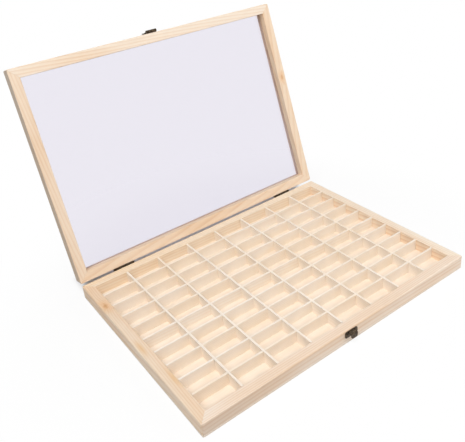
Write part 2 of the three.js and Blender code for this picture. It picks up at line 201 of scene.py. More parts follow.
def new_finish(name):
    """An empty material with an output and a Principled shader. Returns both and the tree."""
    made = bpy.data.materials.new(name)
    made.use_nodes = True
    tree = made.node_tree
    tree.nodes.clear()
    shader = tree.nodes.new("ShaderNodeBsdfPrincipled")
    output = tree.nodes.new("ShaderNodeOutputMaterial")
    tree.links.new(shader.outputs[0], output.inputs[0])
    return made, tree, shader, output


def surface(tree, shader, base, height, bump, roughness, specular):
    """Joins colour, relief and gloss to a shader. Bump is a strength and a depth."""
    relief = add(tree, "Bump", {"Strength": bump[0], "Distance": bump[1], "Height": height})
    tree.links.new(base, shader.inputs["Base Color"])
    tree.links.new(relief, shader.inputs["Normal"])
    shader.inputs["Specular IOR Level"].default_value = specular
    if isinstance(roughness, bpy.types.NodeSocket):
        tree.links.new(roughness, shader.inputs["Roughness"])
    else:
        shader.inputs["Roughness"].default_value = roughness


def drawn_place(tree, body):
    """The point being shaded, in the frame that the shut box is drawn in."""
    back = to_rest[body].inverted()
    here = add(tree, "TexCoord", output=3)
    inputs = {"Vector": here, "Location": back.translation, "Rotation": back.to_euler()}
    return add(tree, "Mapping", inputs)


# %% [markdown]
# ## Pine
#
# Pine is pale, with soft early wood and narrow darker late wood in every year's ring. A
# board is a straight cut through those rings, so the finish is a solid one: rings round a
# pith line that lies outside the board, wandering a little, with fine fibres and a slow
# change of tone along the grain. A knot is a branch that the board was cut through: dark
# orange in the middle, with the rings pushed round it. A resin streak is a long soft golden
# patch. A board's outer side can get painted shade, a darker tint that stands in for the
# shade there. All of it follows object coordinates, so it runs on round every edge as real
# grain does. An image would be quicker to set up, but it repeats, and it wraps round the
# corners of a board in the wrong way.

# %% Pine finish
late_wood = colour(222, 176, 128)
knot_heart = colour(206, 146, 92)
knot_halo = colour(238, 190, 138)
resin_gold = colour(236, 194, 140)


def grain_place(tree, body, along, shift):
    """The drawn place with its first axis along the grain, moved to a part of the log of its own."""
    place = drawn_place(tree, body)
    if along == "y":
        x, y, z = axes(tree, place)
        place = add(tree, "CombineXYZ", {0: y, 1: x, 2: z})
    return add(tree, "VectorMath", {0: place, 1: shift}, operation="ADD")


def ring_lines(tree, place, pith, spacing, push):
    """How much late wood there is, 0 to 1. Push moves the rings, as a knot does."""
    wander = noise(tree, scaled(tree, place, (2.5, 11, 11)), detail=2.0)
    offset = maths(tree, "MULTIPLY", maths(tree, "SUBTRACT", wander, 0.5), 3.5 * spacing)
    across = add(tree, "VectorMath", {0: scaled(tree, place, (0.05, 1, 1)), 1: pith}, operation="SUBTRACT")
    radius = add(tree, "VectorMath", {0: across}, 1, operation="LENGTH")
    radius = maths(tree, "ADD", maths(tree, "ADD", radius, offset), push)
    ring = maths(tree, "FRACT", maths(tree, "DIVIDE", radius, spacing))
    rise = fade(tree, ring, 0.35, 0.9)
    drop = fade(tree, ring, 0.92, 1.0, 1.0, 0.0)
    return maths(tree, "MULTIPLY", rise, drop)


def knot_masks(tree, place, shift, knots, spacing):
    """Two masks, heart and halo, and how far the rings are pushed, for all knots of a board."""
    heart, halo, push = 0.0, 0.0, 0.0
    for centre, radius in knots:
        middle = Vector(centre) * mm + Vector(shift)
        away = add(tree, "VectorMath", {0: place, 1: middle}, operation="SUBTRACT")
        away = scaled(tree, away, (0.5, 1, 1))
        rough = noise(tree, place, 220.0)
        distance = add(tree, "VectorMath", {0: away}, 1, operation="LENGTH")
        wobble = maths(tree, "MULTIPLY", maths(tree, "SUBTRACT", rough, 0.5), radius * mm)
        distance = maths(tree, "ADD", distance, wobble)
        heart = maths(tree, "ADD", heart, fade(tree, distance, 0.0, radius * mm, 1.0, 0.0))
        halo = maths(tree, "ADD", halo, fade(tree, distance, 0.0, 3 * radius * mm, 1.0, 0.0))
        push = maths(tree, "ADD", push, fade(tree, distance, 0.0, 3 * radius * mm, 1.5 * spacing, 0.0))
    return heart, halo, push


def streak_mask(tree, place, shift, streaks):
    """Where a board's resin streaks are, given as a middle, a length and a width."""
    mask = 0.0
    for centre, length, width in streaks:
        middle = Vector(centre) * mm + Vector(shift)
        away = add(tree, "VectorMath", {0: place, 1: middle}, operation="SUBTRACT")
        away = scaled(tree, away, (width / length, 1, 1))
        distance = add(tree, "VectorMath", {0: away}, 1, operation="LENGTH")
        mask = maths(tree, "ADD", mask, fade(tree, distance, 0.0, width * mm, 1.0, 0.0))
    return mask


def painted_shade_mask(tree, place, shift, outer):
    """Where a board's outer side gets painted shade, its share fading from one end of a stretch to the
    other.
    """
    along, across, _ = axes(tree, place)
    across = maths(tree, "ABSOLUTE", maths(tree, "SUBTRACT", across, shift[1]))
    on_face = fade(tree, across, outer["face"] - 1.0 * mm, outer["face"] - 0.3 * mm)
    start, end = (shift[0] + place_along for place_along in outer["stretch"])
    return maths(tree, "MULTIPLY", on_face, fade(tree, along, start, end, *outer["shares"]))


ring_spacing = 2.7 * mm
figure = 0.4


def pine(name, body, along, shift, pale, rich, knots=(), streaks=(), outer=None):
    """A planed pine finish. The grain runs along X or Y of the shut box."""
    made, tree, shader, _ = new_finish(name)
    place = grain_place(tree, body, along, shift)
    heart, halo, push = knot_masks(tree, place, shift, knots, ring_spacing)
    pith = (0.0, shift[1] + 0.055, shift[2] - 0.08)
    late = ring_lines(tree, place, pith, ring_spacing, push)
    tone = fade(tree, noise(tree, scaled(tree, place, (5, 40, 40)), detail=3.0), 0.35, 0.7)
    fibres = noise(tree, scaled(tree, place, (45, 1100, 1100)), detail=3.0, roughness=0.6)
    wood = blend_colours(tree, tone, pale, rich)
    strength = maths(tree, "MULTIPLY", late, fade(tree, tone, 0.0, 1.0, 0.6 * figure, figure))
    wood = blend_colours(tree, strength, wood, late_wood)
    resin = maths(tree, "MULTIPLY", streak_mask(tree, place, shift, streaks), 0.7)
    wood = blend_colours(tree, resin, wood, resin_gold)
    wood = blend_colours(tree, maths(tree, "MULTIPLY", halo, 0.7), wood, knot_halo)
    wood = blend_colours(tree, maths(tree, "MULTIPLY", heart, 0.7), wood, knot_heart)
    # Painted shade: on the outer side the wood is multiplied by a darker tint that stands in for shade.
    if outer:
        wood = blend_colours(tree, painted_shade_mask(tree, place, shift, outer), wood, outer["tint"], "MULTIPLY")
    streak = fade(tree, fibres, 0.3, 0.7, 0.10, 0.0)
    wood = blend_colours(tree, streak, wood, late_wood)
    relief = maths(tree, "ADD", maths(tree, "MULTIPLY", late, 0.5), fibres)
    gloss = fade(tree, fibres, 0.2, 0.8, 0.62, 0.5)
    surface(tree, shader, wood, relief, (0.25, 0.12 * mm), gloss, 0.35)
    return made


# %% [markdown]
# ## Plywood
#
# The base is a thin sheet of three veneers. Its broad face is peeled off a log, so it shows
# a wide, cloudy figure and hardly any lines. At the edge the three layers show: the outer
# two run lengthwise, and the middle one shows its end grain and takes dirt, so it is darker.

# %% Plywood finish
def plywood(name, low, high):
    made, tree, shader, _ = new_finish(name)
    place = drawn_place(tree, "tray")
    height = axes(tree, place)[2]
    swirl = noise(tree, scaled(tree, place, (3, 14, 1)), detail=3.0)
    wave = maths(tree, "SINE", maths(tree, "MULTIPLY", swirl, 60.0))
    cloudy = fade(tree, wave, -1.0, 1.0, 0.0, 0.4)
    face = blend_colours(tree, cloudy, colour(245, 233, 218), colour(241, 223, 202))
    fibres = noise(tree, scaled(tree, place, (60, 900, 900)), detail=2.0)
    face = blend_colours(tree, fade(tree, fibres, 0.35, 0.75, 0.12, 0.0), face, colour(220, 180, 140))
    ply = (high - low) / 3
    middle = maths(tree, "MULTIPLY", fade(tree, height, low + 0.9 * ply, low + 1.1 * ply),
                   fade(tree, height, low + 1.9 * ply, low + 2.1 * ply, 1.0, 0.0))
    pores = noise(tree, place, 1400.0)
    core = blend_colours(tree, pores, colour(236, 220, 204), colour(216, 197, 178))
    face = blend_colours(tree, middle, face, core)
    surface(tree, shader, face, fibres, (0.2, 0.1 * mm), 0.62, 0.3)
    return made


# %% [markdown]
# ## Aged bronze
#
# Small box hardware is stamped from thin steel or brass, plated and blackened, and the dark
# layer is rubbed off again where hands and tools touch it. So the finish is a dark brown
# metal, cloudy in tone, with a warmer and smoother metal on its edges. The Bevel node sees
# the edges: where its rounded normal leaves the true one, there is an edge.

# %% Aged bronze finish
def aged_bronze(name, body):
    made, tree, shader, _ = new_finish(name)
    place = drawn_place(tree, body)
    cloud = noise(tree, place, 420.0, detail=3.0, roughness=0.6)
    dark = blend_colours(tree, fade(tree, cloud, 0.35, 0.7), colour(54, 45, 37), colour(110, 94, 76))
    rounded = add(tree, "Bevel", {"Radius": 0.35 * mm}, samples=6)
    true_normal = add(tree, "NewGeometry", output=1)
    agree = add(tree, "VectorMath", {0: rounded, 1: true_normal}, 1, operation="DOT_PRODUCT")
    edge = fade(tree, agree, 0.97, 0.8, 0.0, 1.0)
    rubbed = maths(tree, "MULTIPLY", edge, fade(tree, noise(tree, place, 260.0), 0.35, 0.6))
    metal = blend_colours(tree, maths(tree, "MULTIPLY", rubbed, 0.7), dark, colour(186, 158, 118))
    surface(tree, shader, metal, cloud, (0.3, 0.05 * mm), fade(tree, cloud, 0.3, 0.7, 0.34, 0.5), 0.5)
    shader.inputs["Metallic"].default_value = 0.9
    return made


# %% [markdown]
# ## The clear sheet
#
# The lid's window is a sheet of acrylic, 2 mm thick. It is nearly colourless, with a faint
# cool tint that shows against white. Lamps shine through a clear sheet, and glass in a path
# tracer would block them, so rays from the lamps meet a plain see-through shader instead.
# Wiping leaves a faint haze, which a slow noise on the roughness gives.

# %% Clear sheet finish
def clear_sheet(name):
    made, tree, shader, output = new_finish(name)
    place = drawn_place(tree, "lid")
    haze = fade(tree, noise(tree, scaled(tree, place, (9, 22, 1)), detail=4.0), 0.4, 0.75, 0.01, 0.05)
    tint = colour(235, 232, 241)
    shader.inputs["Base Color"].default_value = tint
    shader.inputs["Transmission Weight"].default_value = 1.0
    shader.inputs["IOR"].default_value = 1.49
    tree.links.new(haze, shader.inputs["Roughness"])
    lamp_ray = add(tree, "LightPath", output=1)
    open_way = add(tree, "BsdfTransparent", {"Color": tint})
    shown = add(tree, "MixShader", {0: lamp_ray, 1: shader.outputs[0], 2: open_way})
    tree.links.new(shown, output.inputs[0])
    return made


# %% [markdown]
# ## Modelling by hand
#
# Every new piece starts as a block and is shaped with the modelling tools. A tool acts on
# what is selected, so these helpers select faces or edges by where they are, which is what
# a hand with a mouse does by eye.

# %% Modelling helpers
def put_down():
    """Leaves edit mode and selects nothing."""
    if bpy.context.object and bpy.context.object.mode != "OBJECT":
        bpy.ops.object.mode_set(mode="OBJECT")
    bpy.ops.object.select_all(action="DESELECT")


def choose(thing):
    """Makes a thing the only selected one."""
    put_down()
    thing.select_set(True)
    bpy.context.view_layer.objects.active = thing


def pick_up(thing):
    """Chooses a thing and opens it for editing."""
    choose(thing)
    bpy.ops.object.mode_set(mode="EDIT")


def settle():
    """Puts the place, turn and size of what is selected into its mesh."""
    bpy.ops.object.transform_apply(location=True, rotation=True, scale=True)


def block(name, low, high):
    """A block between two corners."""
    put_down()
    low, high = Vector(low), Vector(high)
    bpy.ops.mesh.primitive_cube_add(size=1, location=(low + high) / 2)
    thing = bpy.context.object
    thing.name = thing.data.name = name
    thing.scale = high - low
    settle()
    return thing


def pick_faces(thing, wanted):
    """Selects the faces whose centre and normal are wanted. Returns how many."""
    pick_up(thing)
    bpy.ops.mesh.select_mode(type="FACE")
    bpy.ops.mesh.select_all(action="DESELECT")
    shape = bmesh.from_edit_mesh(thing.data)
    for face in shape.faces:
        face.select_set(bool(wanted(face.calc_center_median(), face.normal)))
    bmesh.update_edit_mesh(thing.data)
    return sum(face.select for face in shape.faces)


def pick_edges(thing, wanted):
    """Selects the edges whose two ends are wanted. Returns how many."""
    pick_up(thing)
    bpy.ops.mesh.select_mode(type="EDGE")
    bpy.ops.mesh.select_all(action="DESELECT")
    shape = bmesh.from_edit_mesh(thing.data)
    for edge in shape.edges:
        if wanted(edge.verts[0].co, edge.verts[1].co):
            edge.select_set(True)
    bmesh.update_edit_mesh(thing.data)
    return sum(edge.select for edge in shape.edges)


def near(a, b, within=0.01 * mm):
    return abs(a - b) < within


def round_edges(radius, segments=4):
    bpy.ops.mesh.bevel(offset=radius, segments=segments, profile=0.5, affect="EDGES")


on_the_plane = 1e-7


def saw(thing, point, normal):
    """Cuts a thing along a plane, keeps what the normal points to, and closes the cut."""
    pick_up(thing)
    bpy.ops.mesh.select_all(action="SELECT")
    bpy.ops.mesh.bisect(plane_co=point, plane_no=normal, use_fill=True, clear_inner=True,
                        threshold=on_the_plane)


def twin(thing, name):
    """A copy with a mesh of its own."""
    put_down()
    copy = thing.copy()
    copy.data = thing.data.copy()
    copy.name = copy.data.name = name
    bpy.context.scene.collection.objects.link(copy)
    return copy


def use_modifier(thing, kind, **settings):
    """Adds a modifier, sets it and applies it."""
    choose(thing)
    modifier = thing.modifiers.new(kind.lower(), kind)
    for name, value in settings.items():
        setattr(modifier, name, value)
    bpy.ops.object.modifier_apply(modifier=modifier.name)


def join_or_cut(thing, tool, operation):
    """Joins a thing with a tool, or cuts the tool's shape out of it, and deletes the tool."""
    use_modifier(thing, "BOOLEAN", operation=operation, object=tool, solver="EXACT")
    bpy.data.objects.remove(tool)


def ease_edges(thing, width, segments=2):
    """Takes the sharpness off every real edge, as sandpaper or a stamping die does."""
    use_modifier(thing, "BEVEL", width=width, segments=segments, limit_method="ANGLE",
                 angle_limit=math.radians(40))


def finish_piece(thing, body, nodes, material):
    """Smooths a drawn piece, moves it to where it rests, and gives it its body and finish."""
    choose(thing)
    bpy.ops.object.shade_smooth_by_angle(angle=math.radians(35))
    thing.matrix_world = to_rest[body] @ thing.matrix_world
    settle()
    use_modifier(thing, "WEIGHTED_NORMAL", keep_sharp=True)
    thing.data.materials.clear()
    thing.data.materials.append(material)
    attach(thing, body)
    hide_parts(*nodes)
    put_down()


# %% [markdown]
# ## The two frames of boards
#
# The tray's wall and the lid are each four boards, mitred at the corners. A joiner glues
# such a frame up first and then rounds its outer edges, so the rounding runs on across the
# mitres. The model does the same: a block gets its round corners and rims, its middle is
# taken out, and only then is the ring sawn into four boards along the mitres, with a hair's
# breadth between them. Four separate boards would leave a notch at each corner.

# %% Ring of boards
mitre_gap = 0.1 * mm
corner_radius = 2.4 * mm
outer_edge_radius = 1.6 * mm
inner_edge_radius = 0.6 * mm
glue_edge_radius = 0.25 * mm
inner_x, inner_y = outer_x - rail_width, outer_y - rail_width
sides = {"front": Vector((0, -1, 0)), "back": Vector((0, 1, 0)),
         "left": Vector((-1, 0, 0)), "right": Vector((1, 0, 0))}


def round_corners(thing):
    pick_edges(thing, lambda a, b: near(a.x, b.x) and near(a.y, b.y) and near(abs(a.x), outer_x))
    round_edges(corner_radius, 6)


def round_rim(thing, height, radius, segments=4):
    """Rounds all of the edges at one height."""
    pick_edges(thing, lambda a, b: near(a.z, height) and near(b.z, height))
    round_edges(radius, segments)


def ring_of_boards(name, low, high, top_radius, foot_radius):
    """A rectangular ring between two heights, with its outer edges rounded."""
    ring = block(name, (-outer_x, -outer_y, low), (outer_x, outer_y, high))
    round_corners(ring)
    round_rim(ring, high, top_radius)
    round_rim(ring, low, foot_radius)
    middle = block("middle", (-inner_x, -inner_y, low - mm), (inner_x, inner_y, high + mm))
    join_or_cut(ring, middle, "DIFFERENCE")
    return ring


def on_inner_wall(point):
    return abs(point.x) < inner_x + 0.1 * mm and abs(point.y) < inner_y + 0.1 * mm


def mitre_planes(outward):
    """A point and a normal for each of a board's two mitres. The normal points into the board."""
    across = Vector((abs(outward.y), abs(outward.x), 0))
    reach = Vector((outer_x, outer_y, 0))
    planes = []
    for end in (-1, 1):
        corner = Vector([r * (o + end * a) for r, o, a in zip(reach, outward, across)])
        planes.append((corner, (outward - across * end).normalized()))
    return planes


def saw_into_boards(ring, prefix, inner_rims):
    """Saws the ring along its four mitres and eases the inner rims. Returns the boards by side."""
    boards = {}
    for side, outward in sides.items():
        board = twin(ring, prefix + side)
        for corner, keep in mitre_planes(outward):
            saw(board, corner + keep * mitre_gap / 2, keep)
        pick_edges(board, lambda a, b: on_inner_wall(a) and on_inner_wall(b) and near(a.z, b.z)
                   and any(near(a.z, rim) for rim in inner_rims))
        round_edges(inner_edge_radius, 3)
        boards[side] = board
    bpy.data.objects.remove(ring)
    return boards


# %% [markdown]
# Each board is cut from a different place in the log, so each gets its own finish from the
# same recipe, some a little paler and some more golden. Two boards carry a knot where the
# real ones do: the tray's left board near the back, and the lid's right board near its
# front end. The left board has two resin streaks as well. Two outer sides look darker in
# the photograph than these lamps make them: the tray's front, most of all at its left end,
# and the lid's left side. That is painted shade: a darker tint on those sides, fitted to
# the levels in the photograph, which stands in for shade and not for the wood. Whether
# that is the wood or the light there can't be told. The tints are fitted to the levels in
# the photograph, so they are a guess about the wood.

# %% Board finishes
tray_tones = {"left": ((247, 227, 204), (243, 214, 184)), "front": ((251, 239, 226), (247, 225, 203)),
              "right": ((254, 242, 224), (252, 228, 202)), "back": ((250, 234, 212), (246, 222, 190))}
lid_tones = {"left": ((246, 225, 202), (240, 211, 181)), "front": ((250, 235, 217), (245, 221, 195)),
             "right": ((248, 226, 201), (242, 212, 180)), "back": ((247, 225, 201), (241, 211, 180))}
tray_top_height, lid_face_height = tray_top / mm, lid_low.z / mm
tray_knots = {"left": [((96.5, -222.5, tray_top_height), 4.6)]}
lid_knots = {"right": [((-33.8, 222.5, lid_face_height), 3.0)]}
tray_streaks = {"left": [((-84.0, -217.5, tray_top_height), 30.0, 4.6),
                         ((-13.0, -223.5, tray_top_height), 26.0, 5.4)]}
# Painted shade: a darker tint on the tray's front, strongest at its left end and weaker from the middle on,
# and on the whole of the lid's left side.
tray_painted_shade = {"front": {"face": outer_y, "tint": (0.80, 0.75, 0.71, 1),
                        "stretch": (-outer_x, -0.1 * outer_x), "shares": (0.95, 0.28)}}
lid_painted_shade = {"left": {"face": outer_x, "tint": (0.72, 0.75, 0.79, 1),
                      "stretch": (-outer_y, outer_y), "shares": (1.0, 1.0)}}
grain = {"front": "x", "back": "x", "left": "y", "right": "y"}
log_shift = {"front": (0.3, 0.02, 0.0), "back": (1.7, -0.31, 0.02),
             "left": (2.9, 0.25, 0.0), "right": (4.3, -0.2, 0.01)}


def board_finish(prefix, side, body, tones, knots, streaks, outer, further):
    shift = tuple(a + b for a, b in zip(log_shift[side], further))
    pale, rich = (colour(*tone) for tone in tones[side])
    return pine("pine_" + prefix + side, body, grain[side], shift, pale, rich, knots.get(side, ()),
                streaks.get(side, ()), outer.get(side))


# %% [markdown]
# The tray's wall stands on its base, so its foot is hardly rounded and its upper rim is. It
# could be drawn as four boards with slanting ends. Sawing one ring is quicker, and the
# rounding then meets at every mitre.

# %% Tray boards
tray_ring = ring_of_boards("tray_ring", rail_low.z, rail_high.z, outer_edge_radius, glue_edge_radius)
tray_boards = saw_into_boards(tray_ring, "tray_board_", [rail_high.z])
print("tray boards:", {side: len(board.data.polygons) for side, board in tray_boards.items()})


# %% [markdown]
# The screws of the catch, the hasp and the hinges go into pilot holes. A row of rods is
# modelled as one tool and taken away from the board.

# %% Pilot holes
screw_names = [name for name in frame["nodes"] if "screw" in name]
pilot_radius = 1.1 * mm
pilot_reach = 7.0 * mm


def screw_place(node):
    """The middle of a screw's axis, and the way its head looks, along Y."""
    low, high = drawn_box(node)
    middle = (low + high) / 2
    return middle, math.copysign(1, middle.y)


def pilot_rods(nodes):
    """Rods at each screw, as one thing."""
    rods = []
    for node in nodes:
        middle, facing = screw_place(node)
        put_down()
        place = Vector((middle.x, facing * outer_y, middle.z))
        bpy.ops.mesh.primitive_cylinder_add(vertices=20, radius=pilot_radius, depth=2 * pilot_reach,
                                            location=place, rotation=(math.pi / 2, 0, 0))
        rods.append(bpy.context.object)
    put_down()
    for rod in rods:
        rod.select_set(True)
    bpy.context.view_layer.objects.active = rods[0]
    bpy.ops.object.join()
    settle()
    return rods[0]


def screws_of(*words):
    return [name for name in screw_names if all(word in name for word in words)]


join_or_cut(tray_boards["front"], pilot_rods(screws_of("catch")), "DIFFERENCE")
join_or_cut(tray_boards["back"], pilot_rods(screws_of("tray_screw")), "DIFFERENCE")
for side, board in tray_boards.items():
    finish = board_finish("tray_", side, "tray", tray_tones, tray_knots, tray_streaks, tray_painted_shade, (0, 0, 0))
    finish_piece(board, "tray", ["tray_rail_" + side], finish)
print("screws:", len(screw_names))

# %% [markdown]
# The lid's boards have a groove all round their inner side that holds the clear sheet. Two
# cuts mark its edges on the ring's inner wall, and the strip between them is pushed into
# the wood, evenly at the corners.

# %% Lid boards
pane_low, pane_high = drawn_box("window_pane")
groove_play = 0.15 * mm
groove_low = pane_low.z - groove_play
groove_high = pane_high.z + groove_play
groove_depth = pane_high.x - inner_x + 2 * groove_play

lid_ring = ring_of_boards("lid_ring", lid_low.z, lid_high.z, outer_edge_radius, inner_edge_radius)
for height in (groove_low, groove_high):
    pick_up(lid_ring)
    bpy.ops.mesh.select_all(action="SELECT")
    bpy.ops.mesh.bisect(plane_co=(0, 0, height), plane_no=(0, 0, 1), threshold=on_the_plane)
count = pick_faces(lid_ring, lambda centre, normal: groove_low < centre.z < groove_high
                   and on_inner_wall(centre))
bpy.ops.mesh.extrude_region_shrink_fatten(
    TRANSFORM_OT_shrink_fatten={"value": -groove_depth, "use_even_offset": True})
print("groove faces:", count)
lid_boards = saw_into_boards(lid_ring, "lid_board_", [lid_low.z, lid_high.z])
join_or_cut(lid_boards["front"], pilot_rods(screws_of("hasp")), "DIFFERENCE")
join_or_cut(lid_boards["back"], pilot_rods(screws_of("lid_screw")), "DIFFERENCE")
for side, board in lid_boards.items():
    finish = board_finish("lid_", side, "lid", lid_tones, lid_knots, {}, lid_painted_shade, (6, 0.1, 0.05))
    finish_piece(board, "lid", ["lid_rail_" + side], finish)

# %% [markdown]
# ## The base and the clear sheet
#
# The base is a sheet of plywood under the boards, sanded flush with them, so its corners
# take the same round. Its lower edge is eased so that it doesn't splinter.

# %% Base
base = block("plywood_base", base_low, base_high)
round_corners(base)
round_rim(base, base_low.z, 2 * glue_edge_radius, 3)
round_rim(base, base_high.z, glue_edge_radius, 2)
finish_piece(base, "tray", ["tray_base"], plywood("plywood_sheet", base_low.z, base_high.z))

# %% [markdown]
# The clear sheet is a plain cut sheet whose edges sit in the groove. It could be modelled
# again with eased edges, but nobody would see them, so it keeps its frame mesh and only
# gets the finish.

# %% Clear sheet
pane = frame["nodes"]["window_pane"]
pane.data.materials.clear()
pane.data.materials.append(clear_sheet("clear_sheet"))

# %% [markdown]
# ## The dividers
#
# The grid is an egg crate: each divider has a slot half its height at every crossing, and
# the long ones take the short ones from above. One long and one short divider are modelled,
# with an array of blocks as the tool that cuts their slots, and then copied to each place.
# The strips are cut from thin stock, so their edges are only just eased.

# %% Divider model
lap_gap = 0.15 * mm
divider_ease = 0.3 * mm
row_names = names_starting("row_divider_")
column_names = names_starting("column_divider_")


def middle_of(node):
    low, high = drawn_box(node)
    return (low + high) / 2


def divider(name, node, crossing, axis, crossings, from_top):
    """A comb-shaped strip. Axis is 0 for one that runs along X and 1 for one along Y."""
    low, high = drawn_box(node)
    strip = block(name, low, high)
    half = (crossing[1][axis] - crossing[0][axis]) / 2 + lap_gap
    first, second = crossings[0], crossings[1]
    slot_low, slot_high = low - Vector((1, 1, 1)) * mm, high + Vector((1, 1, 1)) * mm
    slot_low[axis], slot_high[axis] = first - half, first + half
    if from_top:
        slot_low.z = (low.z + high.z) / 2 - lap_gap / 2
    else:
        slot_high.z = (low.z + high.z) / 2 + lap_gap / 2
    tool = block("slot_tool", slot_low, slot_high)
    step = [0, 0, 0]
    step[axis] = second - first
    use_modifier(tool, "ARRAY", count=len(crossings), use_relative_offset=False,
                 use_constant_offset=True, constant_offset_displace=step)
    join_or_cut(strip, tool, "DIFFERENCE")
    ease_edges(strip, divider_ease)
    return strip


def move_mesh(thing, offset):
    """Moves a thing and puts the move into its mesh."""
    choose(thing)
    bpy.ops.transform.translate(value=offset)
    settle()


row_places = sorted(middle_of(name).y for name in row_names)
column_places = sorted(middle_of(name).x for name in column_names)
row_model = divider("row_strip", row_names[0], drawn_box(column_names[0]), 0, column_places, True)
column_model = divider("column_strip", column_names[0], drawn_box(row_names[0]), 1, row_places, False)
print("strip faces:", len(row_model.data.polygons), len(column_model.data.polygons))

# %% [markdown]
# All strips share one of two finishes. Each would show the same lines as its neighbour, as
# if one thick block had been sliced, and the real ones come from anywhere in the stack. So
# the number of the strip, worked out from its place, moves its grain to another place.

# %% Divider finish
def strip_pine(name, along, pitch):
    """Pine for thin strips: fine straight lines, moved on by a step from strip to strip."""
    made, tree, shader, _ = new_finish(name)
    place = grain_place(tree, "tray", along, (0, 0, 0))
    number = maths(tree, "ROUND", maths(tree, "DIVIDE", axes(tree, place)[1], pitch))
    chance = add(tree, "TexWhiteNoise", {"W": number}, 1, noise_dimensions="1D")
    place = add(tree, "VectorMath", {0: place, 1: scaled(tree, chance, (3, 0.4, 0.4))}, operation="ADD")
    late = ring_lines(tree, place, (0, 0.21, 0.16), 1.9 * mm, 0.0)
    tone = fade(tree, noise(tree, scaled(tree, place, (6, 30, 30)), detail=2.0), 0.35, 0.7)
    fibres = noise(tree, scaled(tree, place, (60, 1300, 1300)), detail=3.0)
    wood = blend_colours(tree, tone, colour(255, 246, 234), colour(253, 240, 222))
    wood = blend_colours(tree, maths(tree, "MULTIPLY", late, 0.12), wood, late_wood)
    wood = blend_colours(tree, fade(tree, fibres, 0.35, 0.7, 0.06, 0.0), wood, late_wood)
    surface(tree, shader, wood, fibres, (0.2, 0.1 * mm), 0.6, 0.3)
    return made


# %% [markdown]
# Nine long and seven short strips are wanted. An array would hold them in one mesh, but each
# strip is a piece of its own, so the model is copied to each place with its own mesh.

# %% Place the dividers
def copy_to_places(model, nodes, finish):
    start = middle_of(nodes[0])
    for node in nodes:
        strip = twin(model, node.replace("divider", "strip"))
        move_mesh(strip, middle_of(node) - start)
        finish_piece(strip, "tray", [node], finish)
    bpy.data.objects.remove(model)


row_pine = strip_pine("strip_pine_rows", "x", row_places[1] - row_places[0])
column_pine = strip_pine("strip_pine_columns", "y", column_places[1] - column_places[0])
copy_to_places(row_model, row_names, row_pine)
copy_to_places(column_model, column_names, column_pine)
print("strips:", len(row_names) + len(column_names))

# %% [markdown]
# ## The metal fittings
#
# Hinges, catch and hasp are cut from sheet steel and bent in a press. Each is modelled in
# the order that the press makes it: a flat blank with round corners and punched holes, a
# tab that is bent out or rolled round a pin, and last every edge eased, as a tumbled part
# has it. Rolling is a spin: the end face of the tab is swept about the pin's line, and stops
# before it is full circle, which leaves the small open seam that a rolled knuckle has.

# %% Sheet metal helpers
sheet = 1.0 * mm
play = 0.3 * mm
plate_corner = 3.0 * mm
stamped_ease, strap_ease = 0.15 * mm, 0.12 * mm
rolled_turn = math.radians(290)
bronze = {body: aged_bronze("aged_bronze_" + body, body) for body in to_rest}


def cut_line(thing, point, normal):
    """Divides the faces of a thing along a plane."""
    pick_up(thing)
    bpy.ops.mesh.select_all(action="SELECT")
    bpy.ops.mesh.bisect(plane_co=point, plane_no=normal, threshold=on_the_plane)


def pull(x=0.0, y=0.0, z=0.0):
    """Extrudes the selected faces by an offset."""
    bpy.ops.mesh.extrude_region_move(TRANSFORM_OT_translate={"value": (x, y, z)})


def roll(centre, angle, steps=22):
    """Sweeps the selected faces about a line along X. A positive angle takes the front over the top."""
    bpy.ops.mesh.spin(steps=steps, angle=angle, center=centre, axis=(1, 0, 0))


def cut_corners(thing, wanted, radius, segments=5):
    """Rounds those upright corners of a plate, edges along Y, that are wanted."""
    count = pick_edges(thing, lambda a, b: near(a.x, b.x) and near(a.z, b.z) and wanted(a))
    round_edges(radius, segments)
    return count


def fit_piece(thing, node, body):
    finish_piece(thing, body, [node], bronze[body])


# %% [markdown]
# A hinge has five knuckles: the tray's leaf has the first, third and fifth, the lid's leaf
# has the two between. A small step brings each tab from the flat of the leaf to the pin. The
# lid's knuckles also carry a spur, which meets the tray's leaf when the lid is open and
# holds it there. That is assumed, because the photograph shows no stay.

# %% Hinge leaves
knuckle_count = 5
leaf_sheet = 0.7 * mm
leaf_corner = 1.2 * mm
step_start = 1.2 * mm
spur_half = 0.6 * mm
spur_reach = 3.6 * mm
spur_lift = math.radians(15.4)
leaf_low, leaf_high = drawn_box("hinge_left_tray_leaf")
knuckle_radius = leaf_high.y - hinge_pin.y
knuckle_pitch = (leaf_high.x - leaf_low.x) / knuckle_count


def knuckle_span(number, low):
    start = low.x + number * knuckle_pitch
    return start + play / 2, start + knuckle_pitch - play / 2


def hinge_leaf(name, node, knuckles, way):
    """A leaf that stands above the pin, or hangs below it when way is -1."""
    low, high = drawn_box(node)
    edge = hinge_pin.z + way * (knuckle_radius + play)
    tip = high.z if way > 0 else low.z
    leaf = block(name, (low.x, low.y, min(edge, tip)), (high.x, low.y + leaf_sheet, max(edge, tip)))
    free_corners = [tip] if 0 in knuckles else [tip, edge]
    cut_corners(leaf, lambda a: any(near(a.z, height) for height in free_corners), leaf_corner)
    spans = [knuckle_span(number, low) for number in knuckles]
    for span in spans:
        for x in span:
            cut_line(leaf, (x, 0, 0), (1, 0, 0))
    pick_faces(leaf, lambda centre, normal: near(centre.z, edge) and any(a < centre.x < b for a, b in spans))
    pull(z=hinge_pin.z + way * step_start - edge)
    pull(y=hinge_pin.y - knuckle_radius - low.y, z=-way * step_start)
    roll(hinge_pin, -way * rolled_turn)
    return leaf, spans


def add_spurs(leaf, spans):
    for start, end in spans:
        low = (start + play, hinge_pin.y + knuckle_radius - leaf_sheet / 2, hinge_pin.z - spur_half)
        high = (end - play, hinge_pin.y + spur_reach, hinge_pin.z + spur_half)
        spur = block("spur", low, high)
        spur.matrix_world = turned_about(hinge_pin, spur_lift)
        settle()
        join_or_cut(leaf, spur, "UNION")


